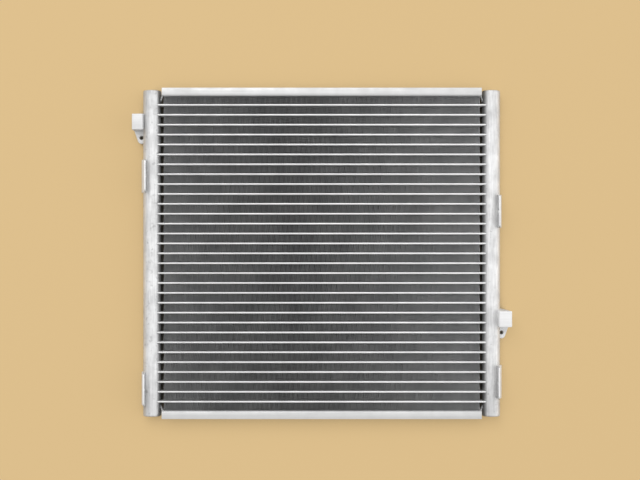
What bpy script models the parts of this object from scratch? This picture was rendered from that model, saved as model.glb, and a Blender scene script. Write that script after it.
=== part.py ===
"""Air conditioning condenser of the parallel-flow kind, all brazed aluminium.

It lies flat on its two header tubes. X runs across the core from the inlet side to the outlet side,
Y runs up the stack of flat tubes, and Z is up, from the core's back to its front. Lengths are in metres.
"""

import math

import bmesh
import bpy
from mathutils import Matrix, Vector

# Core: flat tubes stacked with a corrugated fin strip on each side of every tube.
TUBE_COUNT = 31
TUBE_THICKNESS = 0.0020
TUBE_WIDTH = 0.0140
TUBE_EDGE_CHAMFER = 0.0006
TUBE_END_FROM_AXIS = 0.0025
FIN_HEIGHT = 0.0080
FIN_LENGTH = 0.3195
FIN_SETBACK = 0.0004
FIN_SHEET = 0.0005
FIN_FOLDS = 26

# Header tubes, their end caps and the baffles that split them into passes.
HEADER_SHOULDER = 0.0008
HEADER_WALL = 0.0012
HEADER_TO_FINS = 0.00325
CAP_FLANGE = 0.0012
CAP_EDGE = 0.0007
CAP_SPIGOT = 0.0030
BAFFLE_THICKNESS = 0.0016
LEFT_BAFFLE_TUBE = 10
RIGHT_BAFFLE_TUBE = 21

# Side plates: channels that close the stack, with a bent tongue at each end.
PLATE_SHEET = 0.0015
PLATE_HEIGHT = 0.00835
PLATE_TO_HEADER = 0.0013
PLATE_BEND = 0.0010
PLATE_PAST_HEADER = 0.00235
TONGUE_WIDTH = 0.0100
TONGUE_DROP = 0.00525
TONGUE_SETBACK = 0.0010
TONGUE_ROOT = 0.0060
TONGUE_END_FROM_AXIS = 0.0030

# Connection blocks, brazed to the outer side of the headers.
INLET_CENTRE_Y = 0.1321
OUTLET_CENTRE_Y = -0.0660
BOSS_REACH = 0.0186
BOSS_OVERHANG = 0.0024
BOSS_HEIGHT = 0.0160
BOSS_FRONT = 0.0170
BOSS_EDGE = 0.0005
BOSS_SHOULDER = 0.0030
BLOCK_BACK_LIFT = 0.0005
LUG_THICKNESS = 0.0055
LUG_RADIUS = 0.0060
LUG_DROP = 0.0065
LUG_FILLET = 0.0025
LUG_HOLE = 0.0042
LUG_HOLE_WALL = 0.0003
SOCKET_DIAMETER = 0.0070
SOCKET_DEPTH = 0.0120
SOCKET_CHAMFER = 0.0006
SOCKET_WALL = 0.0014
PORT_BORE = 0.0045

# Mounting brackets, bent from strip: a saddle round the header and a flat ear that stands forward.
BRACKET_LENGTH = 0.0332
BRACKET_SHEET = 0.0020
BRACKET_FRONT = 0.0190
BRACKET_CORNER = 0.0030
BRACKET_HOLE = 0.0055
BRACKET_HOLE_EDGE = 0.0050
# The saddle's first and last bends, counted in half flats of the header round from its outer side.
SADDLE_FIRST_CORNER = -3
SADDLE_LAST_CORNER = 3
# Each bracket: its name, its side, its centre up the header, and how far its ear stands off the axis.
BRACKETS = (
    ("left_upper_bracket", -1, 0.0781, 0.0053),
    ("left_lower_bracket", -1, -0.1367, 0.0069),
    ("right_upper_bracket", 1, 0.0425, 0.0066),
    ("right_lower_bracket", 1, -0.1299, 0.0060),
)

# Clearance between pieces that are brazed to one another, how far a cutter runs past its work,
# and the flats that make up a round.
CLEARANCE = 0.0003
OVERRUN = 0.0020
ROUND_SIDES = 16
FILLET_STEPS = 3

# Places that follow from the sizes above.
TUBE_PITCH = TUBE_THICKNESS + FIN_HEIGHT
CORE_TOP = (TUBE_COUNT * TUBE_THICKNESS + (TUBE_COUNT + 1) * FIN_HEIGHT) / 2
HEADER_BORE_RADIUS = TUBE_WIDTH / 2 + HEADER_SHOULDER
HEADER_RADIUS = HEADER_BORE_RADIUS + HEADER_WALL
HEADER_X = FIN_LENGTH / 2 + HEADER_TO_FINS + HEADER_RADIUS
MIDDLE_Z = HEADER_RADIUS
PLATE_TOP = CORE_TOP + PLATE_HEIGHT
PLATE_END_X = HEADER_X - HEADER_RADIUS - PLATE_TO_HEADER
CAP_TOP = PLATE_TOP - PLATE_PAST_HEADER
HEADER_END = CAP_TOP - CAP_FLANGE - CLEARANCE
TONGUE_Y = CORE_TOP + PLATE_SHEET / 2 - TONGUE_DROP
BLOCK_OUTER_X = HEADER_X + BOSS_REACH
BLOCK_INNER_X = HEADER_X + HEADER_RADIUS - BOSS_OVERHANG
BLOCK_BACK_Z = BLOCK_BACK_LIFT
LUG_FRONT_Z = BLOCK_BACK_Z + LUG_THICKNESS
SADDLE_RADIUS = HEADER_RADIUS + CLEARANCE
SOCKET_X = BLOCK_OUTER_X - SOCKET_WALL - SOCKET_DIAMETER / 2

# Round stretches are polygons with their flats, not their corners, on the nominal radius.
HALF_FLAT = math.pi / ROUND_SIDES
FLAT_TO_CORNER = 1 / math.cos(HALF_FLAT)


def start_scene():
    """Empty the scene and return the collections for the condenser and for its cutters."""
    for obj in list(bpy.data.objects):
        bpy.data.objects.remove(obj, do_unlink=True)
    made = []
    for name in ("condenser", "cutters"):
        collection = bpy.data.collections.new(name)
        bpy.context.scene.collection.children.link(collection)
        made.append(collection)
    return made


def aluminium(name, colour, roughness):
    """A Principled material for one kind of aluminium surface."""
    material = bpy.data.materials.new(name)
    material.use_nodes = True
    shader = material.node_tree.nodes["Principled BSDF"]
    shader.inputs["Base Color"].default_value = (*colour, 1)
    shader.inputs["Metallic"].default_value = 1
    shader.inputs["Roughness"].default_value = roughness
    material.diffuse_color = (*colour, 1)
    return material


CONDENSER, CUTTERS = start_scene()
HEADER_METAL = aluminium("drawn header tube", (0.80, 0.80, 0.79), 0.45)
CORE_METAL = aluminium("extruded flat tube and fin", (0.62, 0.63, 0.64), 0.50)
PLATE_METAL = aluminium("folded side plate", (0.84, 0.84, 0.83), 0.42)
BLOCK_METAL = aluminium("machined block", (0.86, 0.86, 0.85), 0.35)
BRACKET_METAL = aluminium("bent bracket", (0.78, 0.78, 0.78), 0.40)


def add_piece(name, bm, metal):
    """Turn a bmesh into a named piece of the condenser and free the bmesh."""
    mesh = bpy.data.meshes.new(name)
    bm.to_mesh(mesh)
    bm.free()
    mesh.materials.append(metal)
    piece = bpy.data.objects.new(name, mesh)
    CONDENSER.objects.link(piece)
    return piece


def add_cutter(name, bm):
    """Turn a bmesh into a hidden cutter and free the bmesh."""
    mesh = bpy.data.meshes.new(name)
    bm.to_mesh(mesh)
    bm.free()
    cutter = bpy.data.objects.new(name, mesh)
    CUTTERS.objects.link(cutter)
    cutter.hide_render = True
    cutter.display_type = "WIRE"
    return cutter


def boolean(piece, other, operation):
    """Cut another solid out of a piece, or join it on, with a live modifier."""
    modifier = piece.modifiers.new(other.name, "BOOLEAN")
    modifier.operation = operation
    modifier.object = other


def thicken(piece, thickness, offset):
    """Give an open sheet its thickness."""
    modifier = piece.modifiers.new("sheet thickness", "SOLIDIFY")
    modifier.thickness = thickness
    modifier.offset = offset
    modifier.use_even_offset = True


def bake(piece):
    """Replace a piece's modifiers with the mesh that they make."""
    bpy.context.view_layer.update()
    graph = bpy.context.evaluated_depsgraph_get()
    mesh = bpy.data.meshes.new_from_object(piece.evaluated_get(graph))
    piece.modifiers.clear()
    piece.data = mesh


def shade(piece, angle=math.radians(30)):
    """Shade the round stretches smooth and keep the corners sharp."""
    piece.data.shade_smooth()
    piece.data.set_sharp_from_angle(angle=angle)


def box(low, high):
    """A bmesh box between two corners."""
    bm = bmesh.new()
    bmesh.ops.create_cube(bm, size=1)
    size = [b - a for a, b in zip(low, high)]
    middle = [(a + b) / 2 for a, b in zip(low, high)]
    bmesh.ops.scale(bm, vec=size, verts=bm.verts)
    bmesh.ops.translate(bm, vec=middle, verts=bm.verts)
    return bm


def cylinder(radius, start, end, capped=True):
    """A bmesh cylinder between two points on a line along X, Y or Z, with its flats on the radius."""
    start = Vector(start)
    end = Vector(end)
    reach = end - start
    corner_radius = radius * FLAT_TO_CORNER
    bm = bmesh.new()
    bmesh.ops.create_cone(bm, cap_ends=capped, segments=ROUND_SIDES, radius1=corner_radius,
                          radius2=corner_radius, depth=reach.length)
    turn = reach.to_track_quat("Z", "Y").to_matrix().to_4x4() @ Matrix.Rotation(HALF_FLAT, 4, "Z")
    bmesh.ops.transform(bm, matrix=Matrix.Translation((start + end) / 2) @ turn, verts=bm.verts)
    return bm


def drawn_along(bm, made, axis, distance):
    """Move the corners that an extrusion has just made along an axis."""
    corners = [item for item in made["geom"] if isinstance(item, bmesh.types.BMVert)]
    bmesh.ops.translate(bm, vec=[distance if letter == axis else 0 for letter in "XYZ"], verts=corners)
    bmesh.ops.recalc_face_normals(bm, faces=bm.faces)
    return bm


def across(axis, depth, point):
    """The place of a point given in the plane across an axis, at a depth along that axis."""
    place = list(point)
    place.insert("XYZ".index(axis), depth)
    return place


def strip(points, axis, low, high):
    """An open sheet: a path in the plane across an axis, drawn along that axis."""
    bm = bmesh.new()
    path = [bm.verts.new(across(axis, low, point)) for point in points]
    edges = [bm.edges.new(pair) for pair in zip(path, path[1:])]
    return drawn_along(bm, bmesh.ops.extrude_edge_only(bm, edges=edges), axis, high - low)


def prism(points, axis, low, high):
    """A closed bar: an outline in the plane across an axis, drawn along that axis."""
    bm = bmesh.new()
    outline = bm.faces.new([bm.verts.new(across(axis, low, point)) for point in points])
    return drawn_along(bm, bmesh.ops.extrude_face_region(bm, geom=[outline]), axis, high - low)


def profile(points):
    """An open line of radius and height points, set so that the turned shape has its flats there."""
    bm = bmesh.new()
    line = [bm.verts.new((radius * FLAT_TO_CORNER, 0, height)) for radius, height in points]
    for pair in zip(line, line[1:]):
        bm.edges.new(pair)
    bmesh.ops.rotate(bm, matrix=Matrix.Rotation(HALF_FLAT, 3, "Z"), verts=bm.verts)
    return bm


def turn_round_z(piece):
    """Turn a piece's profile round its Z axis into a closed shape."""
    modifier = piece.modifiers.new("turned", "SCREW")
    modifier.axis = "Z"
    modifier.angle = math.tau
    modifier.steps = ROUND_SIDES
    modifier.render_steps = ROUND_SIDES
    modifier.use_merge_vertices = True
    modifier.merge_threshold = 1e-6
    modifier.use_smooth_shade = False
    return piece


def joined(parts):
    """One bmesh that holds several, which it frees."""
    whole = bmesh.new()
    for part in parts:
        mesh = bpy.data.meshes.new("part")
        part.to_mesh(mesh)
        part.free()
        whole.from_mesh(mesh)
        bpy.data.meshes.remove(mesh)
    return whole


def on_side(bm, side, axis="X"):
    """Leave a bmesh on the plus side of an axis, or flip it to the minus side."""
    if side < 0:
        bmesh.ops.scale(bm, vec=[-1 if letter == axis else 1 for letter in "XYZ"], verts=bm.verts)
        bmesh.ops.reverse_faces(bm, faces=bm.faces)
    return bm


def tube_y(number):
    """Height up the stack of a flat tube, counted from 1 at the top."""
    return CORE_TOP - FIN_HEIGHT - TUBE_THICKNESS / 2 - (number - 1) * TUBE_PITCH


def flat_tube(name):
    """A flat tube along X with its long edges chamfered."""
    half_length = HEADER_X - TUBE_END_FROM_AXIS
    half_width = TUBE_WIDTH / 2
    half_thickness = TUBE_THICKNESS / 2
    bm = box((-half_length, -half_thickness, -half_width), (half_length, half_thickness, half_width))
    long_edges = [edge for edge in bm.edges if edge.calc_length() > half_length]
    bmesh.ops.bevel(bm, geom=long_edges, offset=TUBE_EDGE_CHAMFER, segments=1, profile=0.5,
                    affect="EDGES", material=-1)
    return add_piece(name, bm, CORE_METAL)


def fin_strip(name, foot_y, end_y):
    """A corrugated fin: a sheet folded to and fro above foot_y, with its two ends taken to end_y."""
    run = FIN_LENGTH / FIN_FOLDS
    clear_height = FIN_HEIGHT - 2 * CLEARANCE
    fold_tip = FIN_SHEET / 2 / math.sin(math.atan2(run, clear_height))
    low = foot_y + CLEARANCE + fold_tip
    high = foot_y + FIN_HEIGHT - CLEARANCE - fold_tip
    path = [(fold * run - FIN_LENGTH / 2, high if fold % 2 else low) for fold in range(FIN_FOLDS + 1)]
    path[0] = (path[0][0], end_y)
    path[-1] = (path[-1][0], end_y)
    half_depth = TUBE_WIDTH / 2 - FIN_SETBACK
    piece = add_piece(name, strip(path, "Z", -half_depth, half_depth), CORE_METAL)
    thicken(piece, FIN_SHEET, 0)
    return piece


def make_core():
    """Flat tubes with their fins: each strip is brazed to the tube below it at its two end folds."""
    tube = flat_tube("tube_and_fin_01")
    fin = fin_strip("fin_on_tube", foot_y=TUBE_THICKNESS / 2, end_y=0)
    boolean(tube, fin, "UNION")
    bake(tube)
    bpy.data.objects.remove(fin)
    tube.location = (0, tube_y(1), MIDDLE_Z)
    for number in range(2, TUBE_COUNT + 1):
        piece = bpy.data.objects.new(f"tube_and_fin_{number:02d}", tube.data)
        CONDENSER.objects.link(piece)
        piece.location = (0, tube_y(number), MIDDLE_Z)
    last = fin_strip("bottom_fin", foot_y=-CORE_TOP, end_y=-CORE_TOP + FIN_HEIGHT / 2)
    last.location = (0, 0, MIDDLE_Z)


def slot(y, width, thickness):
    """A cutter for one slot in a header's core side, a clearance larger than the bar that enters it."""
    half_width = width / 2 + CLEARANCE
    half_thickness = thickness / 2 + CLEARANCE
    return box((HEADER_X - HEADER_RADIUS - OVERRUN, y - half_thickness, MIDDLE_Z - half_width),
               (HEADER_X, y + half_thickness, MIDDLE_Z + half_width))


def make_header(name, side, port_y):
    """A drawn tube with slots for the flat tubes and tongues, and one port hole on its outer side."""
    tube = cylinder(HEADER_RADIUS, (HEADER_X, -HEADER_END, MIDDLE_Z), (HEADER_X, HEADER_END, MIDDLE_Z),
                    capped=False)
    slots = [slot(tube_y(number), TUBE_WIDTH, TUBE_THICKNESS) for number in range(1, TUBE_COUNT + 1)]
    slots += [slot(end * TONGUE_Y, TONGUE_WIDTH, PLATE_SHEET) for end in (-1, 1)]
    port = cylinder(PORT_BORE / 2, (HEADER_X, port_y, MIDDLE_Z),
                    (HEADER_X + HEADER_RADIUS + OVERRUN, port_y, MIDDLE_Z))
    header = add_piece(name, on_side(tube, side), HEADER_METAL)
    thicken(header, HEADER_WALL, -1)
    boolean(header, add_cutter(f"{name}_slots", on_side(joined(slots), side)), "DIFFERENCE")
    boolean(header, add_cutter(f"{name}_port", on_side(port, side)), "DIFFERENCE")
    shade(header)


def make_cap(name, side, end):
    """An end cap: a rounded flange against the tube's end and a spigot inside its bore."""
    seat = CAP_TOP - CAP_FLANGE
    spigot_radius = HEADER_BORE_RADIUS - CLEARANCE
    cap = add_piece(name, profile((
        (0, CAP_TOP),
        (HEADER_RADIUS - CAP_EDGE, CAP_TOP),
        (HEADER_RADIUS, CAP_TOP - CAP_EDGE),
        (HEADER_RADIUS, seat),
        (spigot_radius, seat),
        (spigot_radius, seat - CAP_SPIGOT),
        (0, seat - CAP_SPIGOT),
    )), HEADER_METAL)
    turn_round_z(cap)
    cap.location = (side * HEADER_X, 0, MIDDLE_Z)
    cap.rotation_euler = (-end * math.pi / 2, 0, 0)


def make_baffle(name, side, tube_above):
    """A disc across the header's bore, midway between two flat tubes."""
    y = tube_y(tube_above) - TUBE_PITCH / 2
    disc = cylinder(HEADER_BORE_RADIUS - CLEARANCE, (side * HEADER_X, y - BAFFLE_THICKNESS / 2, MIDDLE_Z),
                    (side * HEADER_X, y + BAFFLE_THICKNESS / 2, MIDDLE_Z))
    shade(add_piece(name, disc, HEADER_METAL))


def make_side_plate(name, end):
    """A channel with its flanges turned away from the core, and a tongue bent into each header."""
    half_sheet = PLATE_SHEET / 2
    web_y = CORE_TOP + half_sheet
    low_flange = MIDDLE_Z - TUBE_WIDTH / 2 + half_sheet
    high_flange = MIDDLE_Z + TUBE_WIDTH / 2 - half_sheet
    channel = strip(((PLATE_TOP, low_flange), (web_y, low_flange), (web_y, high_flange),
                     (PLATE_TOP, high_flange)), "X", -PLATE_END_X, PLATE_END_X)
    folds = [edge for edge in channel.edges if len(edge.link_faces) == 2]
    bmesh.ops.bevel(channel, geom=folds, offset=PLATE_BEND, segments=2, profile=0.5,
                    affect="EDGES", material=-1)
    plate = add_piece(name, on_side(channel, end, "Y"), PLATE_METAL)
    thicken(plate, PLATE_SHEET, 0)
    fold_x = PLATE_END_X - TONGUE_SETBACK
    seat_x = HEADER_X - HEADER_RADIUS - CLEARANCE - half_sheet
    path = ((fold_x - TONGUE_ROOT, web_y), (fold_x, web_y), (seat_x, TONGUE_Y),
            (HEADER_X - TONGUE_END_FROM_AXIS, TONGUE_Y))
    for label, side in (("left", -1), ("right", 1)):
        tongue = strip(path, "Z", MIDDLE_Z - TONGUE_WIDTH / 2, MIDDLE_Z + TONGUE_WIDTH / 2)
        addition = add_cutter(f"{name}_{label}_tongue", on_side(on_side(tongue, side), end, "Y"))
        thicken(addition, PLATE_SHEET, 0)
        boolean(plate, addition, "UNION")
    shade(plate)


def lug_place(bottom):
    """Centre of a block's bolt lug: clear of the header's saddle, and a set drop below the boss."""
    saddle_depth = MIDDLE_Z - LUG_FRONT_Z
    saddle_reach = math.sqrt(SADDLE_RADIUS ** 2 - saddle_depth ** 2)
    return HEADER_X + saddle_reach + LUG_HOLE_WALL + LUG_HOLE / 2, bottom - LUG_DROP


def lug_fillet(x, bottom):
    """The hollow fillet between the underside of the boss and the front of the lug."""
    centre_y = bottom - LUG_FILLET
    centre_z = LUG_FRONT_Z + LUG_FILLET
    outline = [(bottom + OVERRUN, LUG_FRONT_Z - OVERRUN), (bottom + OVERRUN, centre_z)]
    for step in range(FILLET_STEPS + 1):
        angle = step * math.pi / 2 / FILLET_STEPS
        outline.append((centre_y + LUG_FILLET * math.cos(angle), centre_z - LUG_FILLET * math.sin(angle)))
    outline.append((centre_y, LUG_FRONT_Z - OVERRUN))
    return prism(outline, "X", x - LUG_RADIUS, x + LUG_RADIUS)


def make_block(name, side, centre_y):
    """A connection block: a boss with the line's socket in its back, and a bolt lug below it."""
    top = centre_y + BOSS_HEIGHT / 2
    bottom = centre_y - BOSS_HEIGHT / 2
    boss = box((BLOCK_INNER_X, bottom, BLOCK_BACK_Z), (BLOCK_OUTER_X, top, MIDDLE_Z + BOSS_FRONT))
    for corner in boss.verts:
        if corner.co.y > centre_y and corner.co.z < MIDDLE_Z and corner.co.x < SOCKET_X:
            corner.co.y += BOSS_SHOULDER
    block = add_piece(name, on_side(boss, side), BLOCK_METAL)
    edges = block.modifiers.new("broken edges", "BEVEL")
    edges.width = BOSS_EDGE
    edges.segments = 1
    x, y = lug_place(bottom)
    additions = {
        "lug": box((x - LUG_RADIUS, y, BLOCK_BACK_Z), (x + LUG_RADIUS, bottom + OVERRUN, LUG_FRONT_Z)),
        "lug_end": cylinder(LUG_RADIUS, (x, y, BLOCK_BACK_Z), (x, y, LUG_FRONT_Z)),
        "fillet": lug_fillet(x, bottom),
    }
    removals = {
        "saddle": cylinder(SADDLE_RADIUS, (HEADER_X, y - 2 * LUG_RADIUS, MIDDLE_Z),
                           (HEADER_X, top + 2 * LUG_RADIUS, MIDDLE_Z)),
        "port": cylinder(PORT_BORE / 2, (HEADER_X, centre_y, MIDDLE_Z), (SOCKET_X, centre_y, MIDDLE_Z)),
        "bolt_hole": cylinder(LUG_HOLE / 2, (x, y, BLOCK_BACK_Z - OVERRUN), (x, y, LUG_FRONT_Z + OVERRUN)),
    }
    for label, bm in additions.items():
        boolean(block, add_cutter(f"{name}_{label}", on_side(bm, side)), "UNION")
    for label, bm in removals.items():
        boolean(block, add_cutter(f"{name}_{label}", on_side(bm, side)), "DIFFERENCE")
    socket = turn_round_z(add_cutter(f"{name}_socket", profile((
        (0, SOCKET_DEPTH),
        (SOCKET_DIAMETER / 2, SOCKET_DEPTH),
        (SOCKET_DIAMETER / 2, SOCKET_CHAMFER),
        (SOCKET_DIAMETER / 2 + SOCKET_CHAMFER + OVERRUN, -OVERRUN),
        (0, -OVERRUN),
    ))))
    socket.location = (side * SOCKET_X, centre_y, BLOCK_BACK_Z)
    boolean(block, socket, "DIFFERENCE")
    shade(block)


def make_bracket(name, side, centre_y, ear_offset):
    """A bent strip: a saddle round the header's outer side, and an ear with a bolt hole in it."""
    middle_radius = SADDLE_RADIUS + BRACKET_SHEET / 2
    path = []
    for corner in range(SADDLE_FIRST_CORNER, SADDLE_LAST_CORNER + 1, 2):
        angle = corner * HALF_FLAT
        path.append((HEADER_X + middle_radius * FLAT_TO_CORNER * math.cos(angle),
                     MIDDLE_Z + middle_radius * FLAT_TO_CORNER * math.sin(angle)))
    last_flat = (SADDLE_LAST_CORNER + 1) * HALF_FLAT
    ear_x = HEADER_X + ear_offset
    front_z = MIDDLE_Z + BRACKET_FRONT
    path.append((ear_x, MIDDLE_Z + (middle_radius - ear_offset * math.cos(last_flat)) / math.sin(last_flat)))
    path.append((ear_x, front_z))
    sheet = strip(path, "Y", centre_y - BRACKET_LENGTH / 2, centre_y + BRACKET_LENGTH / 2)
    front_corners = [vert for vert in sheet.verts if vert.co.z > front_z - OVERRUN]
    bmesh.ops.bevel(sheet, geom=front_corners, offset=BRACKET_CORNER, segments=2, profile=0.5,
                    affect="VERTICES", material=-1)
    hole_z = front_z - BRACKET_HOLE_EDGE
    hole = cylinder(BRACKET_HOLE / 2, (ear_x - 2 * BRACKET_SHEET, centre_y, hole_z),
                    (ear_x + 2 * BRACKET_SHEET, centre_y, hole_z))
    bracket = add_piece(name, on_side(sheet, side), BRACKET_METAL)
    thicken(bracket, BRACKET_SHEET, 0)
    boolean(bracket, add_cutter(f"{name}_hole", on_side(hole, side)), "DIFFERENCE")
    shade(bracket)


make_core()
make_header("left_header", -1, INLET_CENTRE_Y)
make_header("right_header", 1, OUTLET_CENTRE_Y)
make_cap("left_top_cap", -1, 1)
make_cap("left_bottom_cap", -1, -1)
make_cap("right_top_cap", 1, 1)
make_cap("right_bottom_cap", 1, -1)
make_baffle("left_baffle", -1, LEFT_BAFFLE_TUBE)
make_baffle("right_baffle", 1, RIGHT_BAFFLE_TUBE)
make_side_plate("top_side_plate", 1)
make_side_plate("bottom_side_plate", -1)
make_block("inlet_block", -1, INLET_CENTRE_Y)
make_block("outlet_block", 1, OUTLET_CENTRE_Y)
for bracket_name, bracket_side, bracket_y, bracket_ear in BRACKETS:
    make_bracket(bracket_name, bracket_side, bracket_y, bracket_ear)
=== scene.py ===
import math

import bmesh
import bpy
from mathutils import Matrix, Vector, noise


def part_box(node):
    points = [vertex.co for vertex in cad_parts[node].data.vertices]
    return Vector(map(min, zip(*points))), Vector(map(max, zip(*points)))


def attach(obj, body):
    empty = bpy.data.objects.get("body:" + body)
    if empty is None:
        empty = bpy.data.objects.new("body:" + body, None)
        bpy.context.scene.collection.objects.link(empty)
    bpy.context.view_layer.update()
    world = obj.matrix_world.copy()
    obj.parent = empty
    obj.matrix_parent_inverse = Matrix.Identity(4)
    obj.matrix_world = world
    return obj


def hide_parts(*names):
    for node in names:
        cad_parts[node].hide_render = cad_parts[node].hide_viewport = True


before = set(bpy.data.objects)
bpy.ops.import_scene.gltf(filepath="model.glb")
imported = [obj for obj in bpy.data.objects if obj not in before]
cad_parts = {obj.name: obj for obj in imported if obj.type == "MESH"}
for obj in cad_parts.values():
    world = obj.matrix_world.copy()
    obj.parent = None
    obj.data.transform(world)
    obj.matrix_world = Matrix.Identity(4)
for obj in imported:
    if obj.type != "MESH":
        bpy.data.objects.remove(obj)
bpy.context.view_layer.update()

# Flat tubes. Each is an extruded aluminium tube with a row of ports inside and full round edges, cut to
# length and pushed into both headers. The brazing furnace leaves it pale and matt, with faint lines drawn
# along it. Its colour is darkened a little towards the inlet side as painted shade.
TUBE_COUNT = 31
TUBE_NODES = [f"tube_and_fin_{number:02d}" for number in range(1, TUBE_COUNT + 1)]
TUBE_THICKNESS = 0.0020
TUBE_ROUND = 0.00096
TUBE_ROUND_STEPS = 5
TUBE_PAINTED_SHADE = 0.17
TUBE_REACH = 0.16
ROOT = "root"
SHARP_ANGLE = math.radians(32)
BLACK = (0, 0, 0)
X, Y, Z = range(3)

# The noises in the metal: clouds, drawn lines, grain, spots of flux, and the patches that hold the spots.
# Each has its scale, detail and roughness, and all but the grain have levels between which they set in.
CLOUD_NOISE = (55, 4, 0.62)
CLOUD_LEVELS = (0.34, 0.66)
LINE_NOISE = (1, 2, 0.5)
LINE_LEVELS = (0.30, 0.70)
GRAIN_NOISE = (1900, 2, 0.6)
SPOT_NOISE = (330, 2, 0.5)
SPOT_LEVELS = (0.66, 0.74)
PATCH_NOISE = (21, 1, 0.5)
PATCH_LEVELS = (0.45, 0.62)

# What each noise does to the colour, the roughness and the height of the surface.
GRAIN_TONE = 0.2
PLAIN_ROUGHER = 0.10
CLOUD_SMOOTHER = 0.12
LINE_SMOOTHER = 0.05
SPOT_ROUGHER = 0.10
LINE_HEIGHT = 0.5
GRAIN_HEIGHT = 0.7
CLOUD_HEIGHT = 0.6
SPOT_DEPTH = 0.8
BUMP_STRENGTH = 0.6


class Wire:
    """A socket in a material's nodes. Sums and products of wires add Math nodes."""

    def __init__(self, tree, socket=None):
        self.tree = tree
        self.socket = socket

    def node(self, kind, inputs=(), output=0, **settings):
        """Add a node: its settings, then the values or wires of its inputs."""
        made = self.tree.nodes.new(kind)
        for name, value in settings.items():
            setattr(made, name, value)
        for key, value in dict(inputs).items():
            if isinstance(value, Wire):
                self.tree.links.new(value.socket, made.inputs[key])
            else:
                made.inputs[key].default_value = value
        return Wire(self.tree, made.outputs[output])

    def maths(self, operation, *values):
        """A Math node on some values or wires."""
        return self.node("ShaderNodeMath", dict(enumerate(values)), operation=operation)

    def __add__(self, other):
        return self.maths("ADD", self, other)

    def __radd__(self, other):
        return self.maths("ADD", other, self)

    def __sub__(self, other):
        return self.maths("SUBTRACT", self, other)

    def __rsub__(self, other):
        return self.maths("SUBTRACT", other, self)

    def __mul__(self, other):
        return self.maths("MULTIPLY", self, other)

    def __rmul__(self, other):
        return self.maths("MULTIPLY", other, self)

    def unsigned(self):
        """This value without its sign."""
        return self.maths("ABSOLUTE", self)

    def rise(self, low, high):
        """0 below low, 1 above high, and smooth between them."""
        return self.node("ShaderNodeMapRange", {"Value": self, "From Min": low, "From Max": high},
                         interpolation_type="SMOOTHSTEP")

    def between(self, first, second):
        """The colour at this share of the way from the first to the second."""
        colours = [colour if isinstance(colour, Wire) else (*colour, 1) for colour in (first, second)]
        # A Mix node has its colours in sockets 6 and 7, and the mixed colour in output 2.
        return self.node("ShaderNodeMix", {0: self, 6: colours[0], 7: colours[1]}, output=2,
                         data_type="RGBA")

    def noise(self, scale, detail, roughness):
        """Noise on this vector."""
        return self.node("ShaderNodeTexNoise", {"Vector": self, "Scale": scale, "Detail": detail,
                                                "Roughness": roughness})

    def along(self, axis):
        """One axis of this vector."""
        return self.node("ShaderNodeSeparateXYZ", {0: self}, output=axis)

    def stretched(self, amounts):
        """This vector with each axis scaled."""
        return self.node("ShaderNodeMapping", {"Vector": self, "Scale": amounts})


def aluminium(name, dark, pale, metallic, roughness, lines, shade, cloud=0.5, specks=0.0, relief=0.00002):
    """Brazed aluminium: cloudy, lined the way it was drawn, and with small dark spots of flux.

    The shade is a function that gives, for a place on the condenser, how far its colour is darkened there,
    mostly as painted shade.
    """
    metal = bpy.data.materials.new(name)
    metal.use_nodes = True
    tree = metal.node_tree
    shader = tree.nodes["Principled BSDF"]
    shader.inputs["Metallic"].default_value = metallic
    place = Wire(tree).node("ShaderNodeTexCoord", output="Object")
    clouds = place.noise(*CLOUD_NOISE).rise(*CLOUD_LEVELS)
    drawn = place.stretched(lines).noise(*LINE_NOISE).rise(*LINE_LEVELS)
    grain = place.noise(*GRAIN_NOISE)
    spots = place.noise(*SPOT_NOISE).rise(*SPOT_LEVELS) * place.noise(*PATCH_NOISE).rise(*PATCH_LEVELS)
    tone = clouds * cloud + drawn * (1 - GRAIN_TONE - cloud) + grain * GRAIN_TONE - spots * specks
    colour = shade(place).between(tone.between(dark, pale), BLACK)
    tree.links.new(colour.socket, shader.inputs["Base Color"])
    rough = (roughness + PLAIN_ROUGHER - clouds * CLOUD_SMOOTHER - drawn * LINE_SMOOTHER
             + spots * SPOT_ROUGHER)
    tree.links.new(rough.socket, shader.inputs["Roughness"])
    height = drawn * LINE_HEIGHT + grain * GRAIN_HEIGHT + clouds * CLOUD_HEIGHT - spots * SPOT_DEPTH
    bump = height.node("ShaderNodeBump", {"Height": height, "Strength": BUMP_STRENGTH, "Distance": relief},
                       output="Normal")
    tree.links.new(bump.socket, shader.inputs["Normal"])
    return metal


def add_piece(name, bm, metal, node):
    """Turn a bmesh into a piece that rides on the condenser and stands for a CAD node."""
    mesh = bpy.data.meshes.new(name)
    bm.to_mesh(mesh)
    bm.free()
    mesh.materials.append(metal)
    mesh.shade_smooth()
    mesh.set_sharp_from_angle(angle=SHARP_ANGLE)
    piece = bpy.data.objects.new(name, mesh)
    bpy.context.scene.collection.objects.link(piece)
    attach(piece, ROOT)
    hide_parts(node)


def bar(low, high):
    """A bmesh box between two corners."""
    bm = bmesh.new()
    bmesh.ops.create_cube(bm, size=1)
    bmesh.ops.scale(bm, vec=[b - a for a, b in zip(low, high)], verts=bm.verts)
    bmesh.ops.translate(bm, vec=[(a + b) / 2 for a, b in zip(low, high)], verts=bm.verts)
    return bm


def rounded(bm, edges, width, steps):
    """Round some edges of a bmesh."""
    bmesh.ops.bevel(bm, geom=edges, offset=width, segments=steps, profile=0.5, affect="EDGES", material=-1)
    return bm


def painted_shade_to_inlet(place):
    """How far the flat tubes' colour is darkened towards the inlet side, as painted shade."""
    return (1 - place.along(X).rise(-TUBE_REACH, TUBE_REACH)) * TUBE_PAINTED_SHADE


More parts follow.
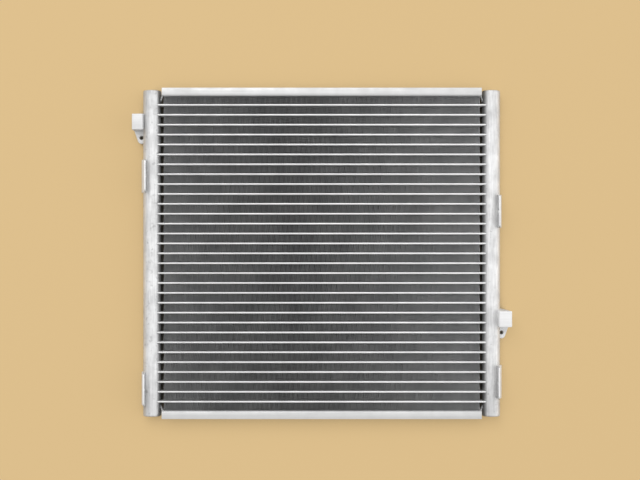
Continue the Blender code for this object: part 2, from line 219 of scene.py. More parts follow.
TUBE_METAL = aluminium("flat_tube_metal", dark=(0.84, 0.84, 0.84), pale=(0.99, 0.99, 0.985), metallic=0.5,
                       roughness=0.42, lines=(12, 700, 700), shade=painted_shade_to_inlet)
for number, node in enumerate(TUBE_NODES, 1):
    low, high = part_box(node)
    tube = bar(low, (high.x, low.y + TUBE_THICKNESS, high.z))
    long_edges = [edge for edge in tube.edges if edge.calc_length() > high.x]
    rounded(tube, long_edges, TUBE_ROUND, TUBE_ROUND_STEPS)
    add_piece(f"flat_tube_{number:02d}", tube, TUBE_METAL, node)

# Fins. One strip of 0.06 mm sheet is folded to and fro in each gap between two flat tubes, and one at each
# end of the stack, all brazed at every fold. Each leg has slats punched in it, which lean one way at the
# front and the other way at the back. They look darker than the tubes, because little light gets in, and
# their colour is darkened as painted shade, most in the middle of the core.
FIN_LENGTH = 0.3195
FIN_LEGS = 256
LEG_SPACING = FIN_LENGTH / FIN_LEGS
FIN_SHEET = 0.00006
FIN_REACH = 0.0080
FIN_SINK = 0.00003
FIN_DEPTH = 0.0132
FOLD_HALF = 0.000565
FOLD_DROP = 0.00016
SLAT_COUNT = 4
SLAT_SPACING = 0.0026
SLAT_WIDTH = 0.0018
SLAT_LEAN = math.radians(14)
SLAT_HEIGHT = 0.0062
FIN_DRIFT = 0.0012
DRIFT_SCALE = 22
FIN_SWAY = 0.00018
SWAY_SCALE = (600, 160)
STRIP_APART = 7.3
EASE_POWER = 8
MIDDLE_PAINTED_SHADE = 0.20
MIDDLE_FROM = -0.05
MIDDLE_TO = 0
CORE_SIDE = 0.17
INLET_SIDE_LESS_SHADE = 0.45
OUTLET_SIDE_LESS_SHADE = 0.75


def painted_shade_mid_core(place):
    """How far the fins' colour is darkened as painted shade: most in the middle of the core, less at its
    sides.
    """
    across = place.along(X)
    inlet_side = (1 - across.rise(-CORE_SIDE, MIDDLE_FROM)) * INLET_SIDE_LESS_SHADE
    outlet_side = across.rise(MIDDLE_TO, CORE_SIDE) * OUTLET_SIDE_LESS_SHADE
    return (1 - inlet_side - outlet_side) * MIDDLE_PAINTED_SHADE


FIN_METAL = aluminium("fin_metal", dark=(0.65, 0.655, 0.66), pale=(0.88, 0.88, 0.88), metallic=0.30,
                      roughness=0.58, lines=(60, 60, 60), shade=painted_shade_mid_core, cloud=0.6)


def merged(parts):
    """One bmesh that holds several, which it frees."""
    whole = bmesh.new()
    for part in parts:
        mesh = bpy.data.meshes.new("part")
        part.to_mesh(mesh)
        part.free()
        whole.from_mesh(mesh)
        bpy.data.meshes.remove(mesh)
    return whole


def fin_sheet():
    """The folded sheet of one strip, with the lower tube's face at y = 0."""
    low, high = -FIN_SINK, FIN_REACH + FIN_SINK
    bm = bmesh.new()
    path = [bm.verts.new((-FIN_LENGTH / 2, low, 0))]
    for fold in range(1, FIN_LEGS):
        x = fold * LEG_SPACING - FIN_LENGTH / 2
        tip = high if fold % 2 else low
        shoulder = tip - FOLD_DROP if fold % 2 else tip + FOLD_DROP
        path += [bm.verts.new(point) for point in ((x - FOLD_HALF, shoulder, 0), (x, tip, 0),
                                                   (x + FOLD_HALF, shoulder, 0))]
    path.append(bm.verts.new((FIN_LENGTH / 2, low, 0)))
    edges = [bm.edges.new(pair) for pair in zip(path, path[1:])]
    made = bmesh.ops.extrude_edge_only(bm, edges=edges)["geom"]
    front = [item for item in made if isinstance(item, bmesh.types.BMVert)]
    bmesh.ops.translate(bm, vec=(0, 0, FIN_DEPTH), verts=front)
    bmesh.ops.translate(bm, vec=(0, 0, -FIN_DEPTH / 2), verts=bm.verts)
    bmesh.ops.solidify(bm, geom=bm.faces[:], thickness=FIN_SHEET)
    bmesh.ops.recalc_face_normals(bm, faces=bm.faces)
    return bm


def fin_slats():
    """The slats of one strip: those of its first two legs, repeated along it."""
    bm = bmesh.new()
    leg_lean = math.atan2(LEG_SPACING - 2 * FOLD_HALF, FIN_REACH - 2 * FOLD_DROP)
    for leg, side in enumerate((-1, 1)):
        for slat in range(SLAT_COUNT):
            z = (slat - (SLAT_COUNT - 1) / 2) * SLAT_SPACING
            lean = SLAT_LEAN if z > 0 else -SLAT_LEAN
            place = Matrix.Translation(((leg + 0.5) * LEG_SPACING - FIN_LENGTH / 2, FIN_REACH / 2, z))
            turn = Matrix.Rotation(side * leg_lean, 4, "Z") @ Matrix.Rotation(lean, 4, "Y")
            size = Matrix.Diagonal((FIN_SHEET, SLAT_HEIGHT, SLAT_WIDTH, 1))
            bmesh.ops.create_cube(bm, size=1, matrix=place @ turn @ size)
    bmesh.ops.spin(bm, geom=bm.verts[:] + bm.edges[:] + bm.faces[:], cent=(0, 0, 0), axis=(0, 0, 1),
                   dvec=(2 * LEG_SPACING, 0, 0), angle=0, steps=FIN_LEGS // 2 - 1, use_duplicate=True)
    return bm


def add_fin(number, y, z, node):
    """A copy of the strip above the height y. Its folds drift a little, and its legs sway slightly."""
    bm = FIN.copy()
    for vert in bm.verts:
        x = vert.co.x
        ease = 1 - (2 * x / FIN_LENGTH) ** EASE_POWER
        drift = noise.noise((x * DRIFT_SCALE, 0, number * STRIP_APART))
        sway = noise.noise((x * SWAY_SCALE[0], vert.co.y * SWAY_SCALE[1], number * STRIP_APART))
        vert.co.x += ease * (drift * FIN_DRIFT + sway * FIN_SWAY)
    bmesh.ops.translate(bm, vec=(0, y, z), verts=bm.verts)
    add_piece(f"fin_{number:02d}", bm, FIN_METAL, node)


FIN = merged([fin_sheet(), fin_slats()])
for number, node in enumerate(TUBE_NODES, 1):
    low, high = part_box(node)
    add_fin(number, low.y + TUBE_THICKNESS, (low.z + high.z) / 2, node)
low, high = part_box(TUBE_NODES[-1])
CORE_BOTTOM = low.y - FIN_REACH
CORE_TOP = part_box(TUBE_NODES[0])[0].y + TUBE_THICKNESS + FIN_REACH
add_fin(TUBE_COUNT + 1, CORE_BOTTOM, (low.z + high.z) / 2, "bottom_fin")
FIN.free()

# Headers. Two drawn aluminium tubes, 18 mm across, with a slot for every flat tube and for each side
# plate's tongue, and a small bead of braze round every joint. Their surface is cloudy, lined along the
# tube and spotted and blotched with flux. Their colour is darkened on the core side as painted shade, for
# the core's shadow and its dark reflection, and a little towards their ends.
HEADER_LOW, HEADER_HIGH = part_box("right_header")
HEADER_RADIUS = (HEADER_HIGH.z - HEADER_LOW.z) / 2
HEADER_X = HEADER_HIGH.x - HEADER_RADIUS
HEADER_Z = HEADER_LOW.z + HEADER_RADIUS
HEADER_HALF = HEADER_HIGH.y
HEADER_WALL = 0.0012
HEADER_BORE = HEADER_RADIUS - HEADER_WALL
HEADER_SIDES = 72
WELD = 0.000001
UPRIGHT = Matrix.Rotation(-math.pi / 2, 4, "X")
TONGUE_WIDTH = 0.0050
TONGUE_DROP = 0.0045
PLATE_SHEET = 0.0015
SLOT_ROUND = 0.94
SLOT_ROUND_STEPS = 5
BEAD = 0.00042
CORE_PAINTED_SHADE = 0.6
CORE_SHADE_FROM = HEADER_X - 0.95 * HEADER_RADIUS
CORE_SHADE_TO = HEADER_X - 0.45 * HEADER_RADIUS
END_DARKENING = 0.14
END_DARKENING_FROM = 0.10
END_DARKENING_TO = 0.16
BLOTCH = 0.20
BLOTCH_NOISE = (160, 2, 0.5)
BLOTCH_LEVELS = (0.58, 0.72)
OUTLET_CLEARER = 0.7


def painted_shade_and_flux_blotches(place):
    """The headers' colour is darkened on the core side as painted shade, for the core's shadow and its dark
    reflection, and a little towards their ends. Flux has left soft blotches on the inlet header, and
    fainter ones on the outlet header.
    """
    core_side = 1 - place.along(X).unsigned().rise(CORE_SHADE_FROM, CORE_SHADE_TO)
    end_darkening = place.along(Y).unsigned().rise(END_DARKENING_FROM, END_DARKENING_TO) * END_DARKENING
    blotches = place.noise(*BLOTCH_NOISE).rise(*BLOTCH_LEVELS)
    faint = 1 - place.along(X).rise(-HEADER_X, HEADER_X) * OUTLET_CLEARER
    return core_side * CORE_PAINTED_SHADE + end_darkening + blotches * faint * BLOTCH


HEADER_METAL = aluminium("header_metal", dark=(0.65, 0.65, 0.65), pale=(0.95, 0.95, 0.95), metallic=0.75,
                         roughness=0.56, lines=(560, 50, 560), shade=painted_shade_and_flux_blotches, cloud=0.40, specks=0.9,
                         relief=0.00004)


def turned(outline, sides=HEADER_SIDES):
    """A closed shape turned round Z from pairs of radius and height."""
    bm = bmesh.new()
    line = [bm.verts.new((out, 0, height)) for out, height in outline]
    edges = [bm.edges.new(pair) for pair in zip(line, line[1:])]
    bmesh.ops.spin(bm, geom=line + edges, cent=(0, 0, 0), axis=(0, 0, 1), angle=math.tau, steps=sides,
                   use_merge=True)
    bmesh.ops.remove_doubles(bm, verts=bm.verts, dist=WELD)
    bmesh.ops.recalc_face_normals(bm, faces=bm.faces)
    return bm


def moved(bm, place, turn=Matrix()):
    """Turn a bmesh about the origin and move it to a place."""
    bmesh.ops.transform(bm, matrix=Matrix.Translation(place) @ turn, verts=bm.verts)
    return bm


def mirrored(bm, side):
    """Leave a bmesh on the plus side of X, or flip it to the minus side."""
    if side < 0:
        bmesh.ops.scale(bm, vec=(-1, 1, 1), verts=bm.verts)
        bmesh.ops.reverse_faces(bm, faces=bm.faces)
    return bm


def placed(name, data):
    """A passing object in the scene for some mesh or curve."""
    item = bpy.data.objects.new(name, data)
    bpy.context.scene.collection.objects.link(item)
    return item


def result_of(item, *helpers):
    """The bmesh that an object's modifiers or bevel make of it. The passing objects are removed."""
    bpy.context.view_layer.update()
    whole = bmesh.new()
    whole.from_mesh(item.evaluated_get(bpy.context.evaluated_depsgraph_get()).to_mesh())
    for passing in (item, *helpers):
        bpy.data.objects.remove(passing)
    return whole


def worked(bm, *steps):
    """Put a bmesh through modifiers, each given as its kind and its settings. The object that one
    works with is given as a bmesh too.
    """
    item = placed("worked", bpy.data.meshes.new("worked"))
    bm.to_mesh(item.data)
    bm.free()
    helpers = []
    for kind, settings in steps:
        modifier = item.modifiers.new(kind, kind)
        for name, value in settings.items():
            if name == "object":
                helpers.append(placed("helper", bpy.data.meshes.new("helper")))
                value.to_mesh(helpers[-1].data)
                value.free()
                value = helpers[-1]
            setattr(modifier, name, value)
    return result_of(item, *helpers)


def joined_on(bm):
    """The step that joins a solid on."""
    return "BOOLEAN", {"operation": "UNION", "object": bm}


def cut_out(bm):
    """The step that cuts a solid out."""
    return "BOOLEAN", {"operation": "DIFFERENCE", "object": bm}


def ring_points(half_height, half_width, corner):
    """Pairs of height and depth round the section of a bar with rounded corners."""
    outline = []
    for quarter, (up, out) in enumerate(((1, 1), (-1, 1), (-1, -1), (1, -1))):
        for step in range(SLOT_ROUND_STEPS + 1):
            angle = math.pi / 2 * (quarter + step / SLOT_ROUND_STEPS)
            outline.append((up * (half_height - corner) + corner * math.cos(angle),
                            out * (half_width - corner) + corner * math.sin(angle)))
    return outline


def header_bars():
    """The bars that enter a header: their height up the stack, half thickness and half width."""
    for node in TUBE_NODES:
        low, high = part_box(node)
        yield low.y + TUBE_THICKNESS / 2, TUBE_THICKNESS / 2, (high.z - low.z) / 2
    for y in (CORE_TOP - TONGUE_DROP, CORE_BOTTOM + TONGUE_DROP):
        yield y, PLATE_SHEET / 2, TONGUE_WIDTH / 2


def braze_beads():
    """A bead of braze round each bar, where it enters the right header."""
    beads = bpy.data.curves.new("beads", "CURVE")
    beads.dimensions = "3D"
    beads.bevel_depth = BEAD
    beads.bevel_resolution = 1
    for y, half_height, half_width in header_bars():
        ring = ring_points(half_height, half_width, half_height * SLOT_ROUND)
        spline = beads.splines.new("POLY")
        spline.points.add(len(ring) - 1)
        spline.use_cyclic_u = True
        for point, (up, out) in zip(spline.points, ring):
            point.co = (HEADER_X - math.sqrt(HEADER_RADIUS ** 2 - out ** 2), y + up, HEADER_Z + out, 1)
    return result_of(placed("beads", beads))


def header_slots():
    """A cutter for each bar that enters the right header."""
    slots = []
    for y, half_height, half_width in header_bars():
        slot = bar((HEADER_X - HEADER_RADIUS - BEAD, y - half_height, HEADER_Z - half_width),
                   (HEADER_X, y + half_height, HEADER_Z + half_width))
        along = [edge for edge in slot.edges if edge.calc_length() > HEADER_RADIUS
                 and edge.verts[0].co.z == edge.verts[1].co.z and edge.verts[0].co.y == edge.verts[1].co.y]
        slots.append(rounded(slot, along, half_height * SLOT_ROUND, SLOT_ROUND_STEPS))
    return merged(slots)


for label, side in (("left", -1), ("right", 1)):
    tube = turned(((HEADER_RADIUS, HEADER_HALF), (HEADER_RADIUS, -HEADER_HALF), (HEADER_BORE, -HEADER_HALF),
                   (HEADER_BORE, HEADER_HALF), (HEADER_RADIUS, HEADER_HALF)))
    slotted = worked(moved(tube, (HEADER_X, 0, HEADER_Z), UPRIGHT), cut_out(header_slots()))
    header = mirrored(merged([slotted, braze_beads()]), side)
    add_piece(f"{label}_header_tube", header, HEADER_METAL, f"{label}_header")

# End caps. Each is turned from bar, with a rounded flange against the header's end and a spigot inside
# its bore, and brazed all round.
CAP_ROUND = 0.0012
CAP_ROUND_STEPS = 5
CAP_GROOVE = 0.0001
CAP_FLANGE = 0.0015
BORE_GAP = 0.0002
SPIGOT_RADIUS = HEADER_BORE - BORE_GAP
for label in ("left", "right"):
    for end, up in (("top", 1), ("bottom", -1)):
        low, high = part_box(f"{label}_{end}_cap")
        length = high.y - low.y
        seat = length - CAP_FLANGE
        outline = [(0, length)]
        for step in range(CAP_ROUND_STEPS + 1):
            angle = math.pi / 2 * step / CAP_ROUND_STEPS
            outline.append((HEADER_RADIUS - CAP_ROUND + CAP_ROUND * math.sin(angle),
                            length - CAP_ROUND + CAP_ROUND * math.cos(angle)))
        outline += [(HEADER_RADIUS, seat + CAP_GROOVE), (HEADER_RADIUS - CAP_GROOVE, seat),
                    (SPIGOT_RADIUS, seat), (SPIGOT_RADIUS, 0), (0, 0)]
        foot = ((low.x + high.x) / 2, low.y if up > 0 else high.y, HEADER_Z)
        cap = moved(turned(outline), foot, Matrix.Rotation(-up * math.pi / 2, 4, "X"))
        add_piece(f"{label}_{end}_end_cap", cap, HEADER_METAL, f"{label}_{end}_cap")

# Baffles. Two plain discs brazed inside the headers, which split the flow into three passes. They can't
# be seen from outside, so the CAD discs stay, in the headers' metal.
for node in ("left_baffle", "right_baffle"):
    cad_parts[node].data.materials.clear()
    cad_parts[node].data.materials.append(HEADER_METAL)

# Side plates. Channels rolled from 1.5 mm sheet, with their flanges turned away from the core, close the
# stack at its two ends. A tongue at each corner is bent in towards the core and enters the header. Their
# faces are even and matt, with faint scratches along them, and the tongues' colour is darkened as painted
# shade.
PLATE_TO_HEADER = 0.0013
PLATE_BEND = 0.0012
PLATE_BEND_STEPS = 4
TONGUE_FOLD_BACK = 0.0004
TONGUE_TO_HEADER = -0.0002
TONGUE_END = 0.0030
TONGUE_BEND = 0.0003
TONGUE_BEND_STEPS = 4
TONGUE_PAINTED_SHADE = 0.55
EDGE_ROUND = 0.00018
EDGE_ROUND_STEPS = 2
EDGE_ANGLE = math.radians(50)


def tongue_painted_shade(place):
    """The tongues, which lie nearer the core than the plates' webs, have their colour darkened as painted
    shade.
    """
    return (1 - place.along(Y).unsigned().rise(CORE_TOP - PLATE_SHEET, CORE_TOP)) * TONGUE_PAINTED_SHADE


PLATE_METAL = aluminium("side_plate_metal", dark=(0.63, 0.63, 0.625), pale=(0.75, 0.75, 0.745),
                        metallic=0.4, roughness=0.50, lines=(10, 600, 600), shade=tongue_painted_shade, cloud=0.35,
                        specks=0.2)


def bent(points, reach, steps):
    """A path whose corners are rounded, from a distance before each to the same distance after it."""
    points = [Vector(point) for point in points]
    path = [points[0]]
    for before, corner, after in zip(points, points[1:], points[2:]):
        start = corner + (before - corner).normalized() * min(reach, (before - corner).length)
        end = corner + (after - corner).normalized() * min(reach, (after - corner).length)
        for step in range(steps + 1):
            share = step / steps
            path.append(start.lerp(corner, share).lerp(corner.lerp(end, share), share))
    return path + [points[-1]]


def pulled(bm, edges, shift):
    """Extrude edges by a shift and return the new edges."""
    made = bmesh.ops.extrude_edge_only(bm, edges=edges)["geom"]
    corners = [item for item in made if isinstance(item, bmesh.types.BMVert)]
    bmesh.ops.translate(bm, vec=shift, verts=corners)
    return [item for item in made if isinstance(item, bmesh.types.BMEdge)
            and item.verts[0] in corners and item.verts[1] in corners]


def from_sheet(bm, thickness):
    """Give an open surface its thickness, and break its edges lightly."""
    bmesh.ops.recalc_face_normals(bm, faces=bm.faces)
    return worked(bm, ("SOLIDIFY", {"thickness": thickness, "offset": 0, "use_even_offset": True}),
                  ("BEVEL", {"width": EDGE_ROUND, "segments": EDGE_ROUND_STEPS, "limit_method": "ANGLE",
                             "angle_limit": EDGE_ANGLE}))


def side_plate(flange_height, half_web):
    """The top side plate, with the core's top face at y = 0."""
    end_x = HEADER_X - HEADER_RADIUS - PLATE_TO_HEADER
    fold_x = end_x - TONGUE_FOLD_BACK
    root_x = fold_x - TONGUE_BEND
    half_tongue = TONGUE_WIDTH / 2
    bm = bmesh.new()
    bmesh.ops.create_grid(bm, x_segments=1, y_segments=1, size=1,
                          matrix=Matrix.Rotation(math.pi / 2, 4, "X"))
    bmesh.ops.scale(bm, vec=(end_x, 1, half_web), verts=bm.verts)
    for point, normal in (((root_x, 0, 0), (1, 0, 0)), ((-root_x, 0, 0), (1, 0, 0)),
                          ((0, 0, half_tongue), (0, 0, 1)), ((0, 0, -half_tongue), (0, 0, 1))):
        bmesh.ops.bisect_plane(bm, geom=bm.verts[:] + bm.edges[:] + bm.faces[:], plane_co=point,
                               plane_no=normal)
    ends = [face for face in bm.faces if abs(face.calc_center_median().x) > root_x
            and abs(face.calc_center_median().z) < half_tongue]
    bmesh.ops.delete(bm, geom=ends, context="FACES")
    sides = [edge for edge in bm.edges if all(abs(abs(vert.co.z) - half_web) < EDGE_ROUND
                                              for vert in edge.verts)]
    pulled(bm, sides, (0, flange_height, 0))
    rounded(bm, [edge for edge in sides if edge.is_valid], PLATE_BEND, PLATE_BEND_STEPS)
    tongue_y = -TONGUE_DROP - PLATE_SHEET / 2
    # The first bend starts right at the root, so the path's first point is left out.
    path = bent(((root_x, 0), (fold_x, 0), (HEADER_X - HEADER_RADIUS - TONGUE_TO_HEADER, tongue_y),
                 (HEADER_X - TONGUE_END, tongue_y)), TONGUE_BEND, TONGUE_BEND_STEPS)[1:]
    for side in (-1, 1):
        edges = [edge for edge in bm.edges if all(abs(vert.co.x - side * root_x) < EDGE_ROUND
                 and abs(vert.co.z) < half_tongue + EDGE_ROUND for vert in edge.verts)]
        for here, there in zip(path, path[1:]):
            step = there - here
            edges = pulled(bm, edges, (side * step.x, step.y, 0))
    return from_sheet(bm, PLATE_SHEET)


for label, up, core_face in (("top", 1, CORE_TOP), ("bottom", -1, CORE_BOTTOM)):
    low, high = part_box(f"{label}_side_plate")
    height = (high.y - core_face if up > 0 else core_face - low.y) - PLATE_SHEET / 2
    plate = side_plate(height, (high.z - low.z - PLATE_SHEET) / 2)
    turn = Matrix() if up > 0 else Matrix.Rotation(math.pi, 4, "X")
    place = (0, core_face + up * PLATE_SHEET / 2, (low.z + high.z) / 2)
    add_piece(f"{label}_plate", moved(plate, place, turn), PLATE_METAL,
              f"{label}_side_plate")

# Connection blocks. Each is machined from bar: a boss with the line's socket in its back, a drafted
# shoulder, and below it a flat lug, which narrows to its round end, for the bolt that holds the line's
# fitting. A saddle milled in the block is brazed to the header's outer side.
INLET_WIDTH = 0.0106
OUTLET_WIDTH = 0.0129
BOSS_HEIGHT = 0.0160
BOSS_SHOULDER = 0.0030
BOSS_ROUND = 0.0006
BOSS_ROUND_STEPS = 3
LUG_CENTRE = 0.0112
LUG_THICKNESS = 0.0055
LUG_LENGTH = 0.0125
LUG_DROP = 0.0065
LUG_TIP_RADIUS = 0.0038
LUG_TIP_STEPS = 24
LUG_TAPER = 0.34
LUG_SEAT = 0.0005
LUG_ROUND = 0.0004
LUG_ROUND_STEPS = 2
LUG_FILLET = 0.0015
LUG_FILLET_STEPS = 8
FILLET_REACH = 0.0060
LUG_HOLE_RADIUS = 0.0021
HOLE_CHAMFER = 0.0003
HOLE_SIDES = 32
SOCKET_RADIUS = 0.0035
SOCKET_DEPTH = 0.0120
SOCKET_WALL = 0.0014
SOCKET_CHAMFER = 0.0006
SOCKET_SIDES = 48
PORT_RADIUS = 0.00225
PORT_REACH = 0.02
SADDLE_REACH = 0.05
OVERRUN = 0.0020
INLET_BOSS_SHADE = 0.16
OUTLET_BOSS_SHADE = 0.04


def painted_shade_on_boss(place):
    """The boss's colour is darkened as painted shade, the inlet's more than the outlet's; the lug is not.
    """
    boss_shade = INLET_BOSS_SHADE + place.along(X).rise(-HEADER_X, HEADER_X) * (OUTLET_BOSS_SHADE - INLET_BOSS_SHADE)
    return place.along(Z).rise(LUG_THICKNESS, LUG_THICKNESS + LUG_FILLET) * boss_shade


# The block's pale colour is painted light on the lug, which lies in the boss's shadow.
BLOCK_METAL = aluminium("block_metal", dark=(0.855, 0.855, 0.855), pale=(0.965, 0.965, 0.96),
                        metallic=0.25, roughness=0.60, lines=(30, 900, 30), shade=painted_shade_on_boss, cloud=0.3,
                        specks=0.1, relief=0.000012)


def extruded(points, shift):
    """A closed bar from an outline in space, drawn along a shift."""
    bm = bmesh.new()
    outline = bm.faces.new([bm.verts.new(point) for point in points])
    made = bmesh.ops.extrude_face_region(bm, geom=[outline])["geom"]
    ahead = [item for item in made if isinstance(item, bmesh.types.BMVert)]
    bmesh.ops.translate(bm, vec=shift, verts=ahead)
    bmesh.ops.recalc_face_normals(bm, faces=bm.faces)
    return bm


def plug(radius, low, high, sides=HEADER_SIDES):
    """A plain round plug along Z between two heights."""
    return turned(((0, high), (radius, high), (radius, low), (0, low)), sides)


def boss(back, front, outer, bottom, width):
    """The boss. The back corner of its top, on the header's side, rises to make the drafted shoulder.

    On the inlet block, whose lower corners round to a hair above the bottom, the one below it rises too.
    """
    bm = bar((outer - width, bottom, back), (outer, bottom + BOSS_HEIGHT, front))
    for corner in bm.verts:
        if corner.co.y > bottom and corner.co.z < front and corner.co.x < outer:
            corner.co.y += BOSS_SHOULDER
    return rounded(bm, bm.edges[:], BOSS_ROUND, BOSS_ROUND_STEPS)


def lug(x, foot, seat, back):
    """The flat lug, which narrows from its seat in the boss to its round end at y = foot."""
    tip = []
    for step in range(LUG_TIP_STEPS + 1):
        angle = math.pi + LUG_TAPER + (math.pi - 2 * LUG_TAPER) * step / LUG_TIP_STEPS
        rise = LUG_TIP_RADIUS * (1 + math.sin(angle))
        tip.append((x + LUG_TIP_RADIUS * math.cos(angle), foot + rise, back))
    neck = tip[-1][0] - x + math.tan(LUG_TAPER) * (seat - tip[-1][1])
    bm = extruded([*tip, (x + neck, seat, back), (x - neck, seat, back)], (0, 0, LUG_THICKNESS))
    front_edges = [edge for edge in bm.edges if all(vert.co.z > back + LUG_ROUND for vert in edge.verts)]
    return rounded(bm, front_edges, LUG_ROUND, LUG_ROUND_STEPS)


def lug_fillet(x, bottom, lug_front):
    """The hollow round that fills the corner between the boss's underside and the lug's face."""
    start = x - FILLET_REACH
    hollow = [(start, bottom + OVERRUN, lug_front - OVERRUN),
              (start, bottom + OVERRUN, lug_front + LUG_FILLET)]
    for step in range(LUG_FILLET_STEPS + 1):
        angle = step * math.pi / 2 / LUG_FILLET_STEPS
        hollow.append((start, bottom - LUG_FILLET * (1 - math.cos(angle)),
                       lug_front + LUG_FILLET * (1 - math.sin(angle))))
    hollow.append((start, bottom - LUG_FILLET, lug_front - OVERRUN))
    return extruded(hollow, (2 * FILLET_REACH, 0, 0))


def block(back, front, outer, foot, width):
    """The right-hand block, from its back to its front face, with the lug's end at y = foot."""
    bottom = foot + LUG_LENGTH
    lug_x = HEADER_X + LUG_CENTRE
    lug_y = bottom - LUG_DROP
    socket_x = outer - SOCKET_WALL - SOCKET_RADIUS
    socket_y = bottom + BOSS_HEIGHT / 2
    saddle = moved(plug(HEADER_RADIUS, -SADDLE_REACH, SADDLE_REACH), (HEADER_X, lug_y, HEADER_Z), UPRIGHT)
    over = LUG_THICKNESS + OVERRUN
    bolt_hole = turned(((0, over), (LUG_HOLE_RADIUS + HOLE_CHAMFER + OVERRUN, over),
                        (LUG_HOLE_RADIUS, LUG_THICKNESS - HOLE_CHAMFER), (LUG_HOLE_RADIUS, -OVERRUN),
                        (0, -OVERRUN)), HOLE_SIDES)
    port = moved(plug(PORT_RADIUS, 0, PORT_REACH, HOLE_SIDES), (socket_x, socket_y, HEADER_Z),
                 Matrix.Rotation(-math.pi / 2, 4, "Y"))
    socket = turned(((0, SOCKET_DEPTH), (SOCKET_RADIUS, SOCKET_DEPTH), (SOCKET_RADIUS, SOCKET_CHAMFER),
                     (SOCKET_RADIUS + SOCKET_CHAMFER + OVERRUN, -OVERRUN), (0, -OVERRUN)), SOCKET_SIDES)
    return worked(boss(back, front, outer, bottom, width),
                  joined_on(lug(lug_x, foot, bottom + LUG_SEAT, back)),
                  joined_on(lug_fillet(lug_x, bottom, back + LUG_THICKNESS)),
                  cut_out(saddle),
                  cut_out(moved(bolt_hole, (lug_x, lug_y, back))),
                  cut_out(port),
                  cut_out(moved(socket, (socket_x, socket_y, back))))


for name, side, width in (("inlet_block", -1, INLET_WIDTH), ("outlet_block", 1, OUTLET_WIDTH)):
    low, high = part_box(name)
    shape = block(low.z, high.z, max(-low.x, high.x), low.y, width)
    add_piece(f"{name}_body", mirrored(shape, side), BLOCK_METAL, name)

# Brackets. Each is a strip of 1.4 mm sheet, bent round the header's outer side and then forward into a
# flat ear with rounded corners and a bolt hole. The ear's sheared edge, in front, is bright, and its
# rolled faces are darkened as painted shade, the one towards the header, beside a shadowed gap, most of
# all.
BRACKET_SHEET = 0.0014
BRACKET_BEND = 0.0016
BRACKET_BEND_STEPS = 5
BRACKET_CORNER = 0.0030
BRACKET_CORNER_STEPS = 6
BRACKET_HOLE_RADIUS = 0.00275
BRACKET_HOLE_EDGE = 0.0050
BRACKET_HOLE_SIDES = 40
SADDLE_RADIUS = 0.0099
SADDLE_START = math.radians(-33.75)
SADDLE_END = math.radians(45)
SADDLE_STEPS = 16
LEFT_EAR_OUT = 0.0003
RIGHT_EAR_IN = 0.0002
EAR_FROM = 0.0160
EAR_FULL = 0.0190
EAR_INNER = abs(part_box("left_upper_bracket")[1].x)
BRIGHT_EDGE = 0.0010
BRIGHT_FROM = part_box("left_upper_bracket")[1].z - BRIGHT_EDGE
OUTER_FACE_SHADE = 0.22
INNER_FACE_SHADE = 0.40


def ear_painted_shade(place):
    """How far the ear's rolled faces are darkened as painted shade, the inner one most; the saddle and edge
    are not.
    """
    inner_side = 1 - place.along(X).unsigned().rise(EAR_INNER, EAR_INNER + BRACKET_SHEET / 2)
    edge = place.along(Z).rise(BRIGHT_FROM, BRIGHT_FROM + BRACKET_SHEET / 3)
    ear = place.along(Z).rise(EAR_FROM, EAR_FULL) - edge
    return ear * (OUTER_FACE_SHADE + inner_side * INNER_FACE_SHADE)


BRACKET_METAL = aluminium("bracket_metal", dark=(0.80, 0.80, 0.80), pale=(0.98, 0.98, 0.975), metallic=0.5,
                          roughness=0.48, lines=(500, 12, 500), shade=ear_painted_shade, cloud=0.4, specks=0.3)


def bracket(inner, bottom, top, front):
    """A right-hand bracket whose ear's inner face is at x = inner."""
    ear = inner + BRACKET_SHEET / 2 - HEADER_X
    path = []
    for step in range(SADDLE_STEPS + 1):
        angle = SADDLE_START + (SADDLE_END - SADDLE_START) * step / SADDLE_STEPS
        path.append(Vector((SADDLE_RADIUS * math.cos(angle), SADDLE_RADIUS * math.sin(angle))))
    foot = (SADDLE_RADIUS - ear * math.cos(SADDLE_END)) / math.sin(SADDLE_END)
    # The bend starts right where the saddle ends, so its first two points are there already.
    path += bent((path[-1], (ear, foot), (ear, front - HEADER_Z)), BRACKET_BEND, BRACKET_BEND_STEPS)[2:]
    bm = bmesh.new()
    line = [bm.verts.new((HEADER_X + point.x, bottom, HEADER_Z + point.y)) for point in path]
    edges = [bm.edges.new(pair) for pair in zip(line, line[1:])]
    pulled(bm, edges, (0, top - bottom, 0))
    corners = [vert for vert in bm.verts if vert.co.z > front - EDGE_ROUND]
    bmesh.ops.bevel(bm, geom=corners, offset=BRACKET_CORNER, segments=BRACKET_CORNER_STEPS, profile=0.5,
                    affect="VERTICES", material=-1)
    hole = moved(plug(BRACKET_HOLE_RADIUS, -OVERRUN, OVERRUN, BRACKET_HOLE_SIDES),
                 (HEADER_X + ear, (top + bottom) / 2, front - BRACKET_HOLE_EDGE),
                 Matrix.Rotation(math.pi / 2, 4, "Y"))
    return worked(from_sheet(bm, BRACKET_SHEET), cut_out(hole))


for label, side, shift in (("left", -1, LEFT_EAR_OUT), ("right", 1, -RIGHT_EAR_IN)):
    for level in ("upper", "lower"):
        name = f"{label}_{level}_bracket"
        low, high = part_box(name)
        shape = bracket(min(abs(low.x), abs(high.x)) + shift, low.y, high.y, high.z)
        add_piece(f"{name}_strip", mirrored(shape, side), BRACKET_METAL, name)

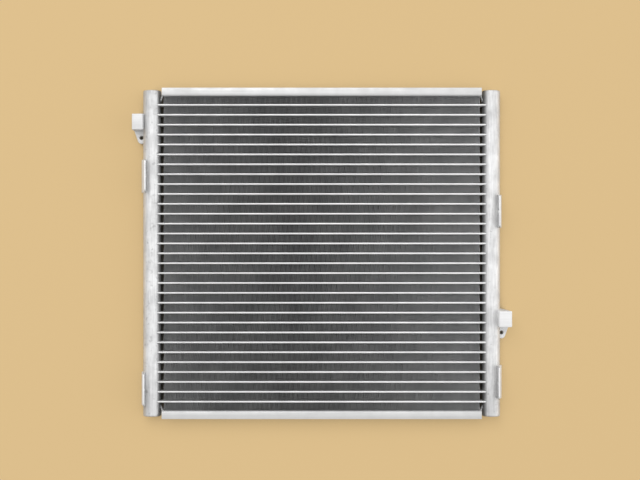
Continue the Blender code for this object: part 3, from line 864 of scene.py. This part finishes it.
# The stage: the photo's view from straight above, a large soft lamp high up towards the picture's top
# left, and a plain tan floor. It glows a little for the camera, so that shadows on it stay light, but is
# dark where it is shut in, as behind the core's gaps, and it throws little light back on the condenser.
LENS = 72.4
CAMERA_PLACE = (-0.030, 0, 1.316)
CAMERA_SHIFT = (0.0437, 0.0209)
LAMP_PLACE = (-0.80, 2.15, 3.40)
LAMP_SIZE = 2.9
LAMP_POWER = 68
TAN = (0.723, 0.521, 0.266)
FLOOR_REACH = 6
FLOOR_GLOW = 0.5
FLOOR_IN_GLOSS = 0.8
FLOOR_BOUNCE = (0.26, 0.25, 0.24)
SHUT_IN_SHADE_COLOUR = (0.15, 0.14, 0.12)
SHUT_IN_REACH = 0.030
SHUT_IN_LEVELS = (0.16, 0.48)
SHUT_IN_SAMPLES = 6

camera = bpy.data.objects.new("camera", bpy.data.cameras.new("camera"))
bpy.context.scene.collection.objects.link(camera)
camera.location = CAMERA_PLACE
camera.data.lens = LENS
camera.data.shift_x, camera.data.shift_y = CAMERA_SHIFT
bpy.context.scene.camera = camera
bpy.context.scene.view_settings.view_transform = "Standard"

lamp = bpy.data.objects.new("lamp", bpy.data.lights.new("lamp", "AREA"))
bpy.context.scene.collection.objects.link(lamp)
lamp.data.size = LAMP_SIZE
lamp.data.energy = LAMP_POWER
lamp.location = LAMP_PLACE
lamp.rotation_euler = (-Vector(LAMP_PLACE)).to_track_quat("-Z", "Y").to_euler()


def seen_rays(tree):
    """1 for rays from the camera, and less for those that gloss sends on from it."""
    camera_ray, glossy_ray = (Wire(tree).node("ShaderNodeLightPath", output=name)
                              for name in ("Is Camera Ray", "Is Glossy Ray"))
    return camera_ray + glossy_ray * (1 - camera_ray) * FLOOR_IN_GLOSS


floor_paint = bpy.data.materials.new("floor_paint")
floor_paint.use_nodes = True
shader = floor_paint.node_tree.nodes["Principled BSDF"]
shader.inputs["Roughness"].default_value = 1
shader.inputs["Specular IOR Level"].default_value = 0
shader.inputs["Emission Strength"].default_value = 1
rays = seen_rays(floor_paint.node_tree)
# Painted shade: where an ambient occlusion node finds the floor shut in, it is painted dark and does not
# glow.
openness = rays.node("ShaderNodeAmbientOcclusion", {"Distance": SHUT_IN_REACH}, output="AO",
                     samples=SHUT_IN_SAMPLES).rise(*SHUT_IN_LEVELS)
seen_colour = openness.between(SHUT_IN_SHADE_COLOUR, [share * (1 - FLOOR_GLOW) for share in TAN])
colour = rays.between(FLOOR_BOUNCE, seen_colour)
glow = (rays * openness * FLOOR_GLOW).between(BLACK, TAN)
floor_paint.node_tree.links.new(colour.socket, shader.inputs["Base Color"])
floor_paint.node_tree.links.new(glow.socket, shader.inputs["Emission Color"])

floor = bmesh.new()
bmesh.ops.create_grid(floor, x_segments=1, y_segments=1, size=FLOOR_REACH)
floor_mesh = bpy.data.meshes.new("floor")
floor.to_mesh(floor_mesh)
floor.free()
floor_mesh.materials.append(floor_paint)
floor_piece = bpy.data.objects.new("floor", floor_mesh)
bpy.context.scene.collection.objects.link(floor_piece)

# The sky. It is brightest low down at the picture's two sides, fair overhead, nearly dark low down at
# its top and bottom, and a little brighter towards its right and its top. The camera sees plain tan.
SKY_LOW = 0.62
SKY_HIGH = 0.82
SKY_SIDES = 0.95
SKY_TILT = (0.32, 0.16)
WHITE = (1, 1, 1)

world = bpy.data.worlds.new("sky")
bpy.context.scene.world = world
world.use_nodes = True
background = world.node_tree.nodes["Background"]
facing = Wire(world.node_tree).node("ShaderNodeTexCoord", output="Generated")
east, north, up = (facing.along(axis) for axis in (X, Y, Z))
light = SKY_LOW + up * up * (SKY_HIGH - SKY_LOW)
light = light * (1 + (east * east - north * north) * SKY_SIDES)
light = light * (1 + east * SKY_TILT[0] + north * SKY_TILT[1])
seen = light.node("ShaderNodeLightPath", output="Is Camera Ray")
world.node_tree.links.new(seen.between(WHITE, TAN).socket, background.inputs["Color"])
world.node_tree.links.new((light + seen * (1 - light)).socket, background.inputs["Strength"])
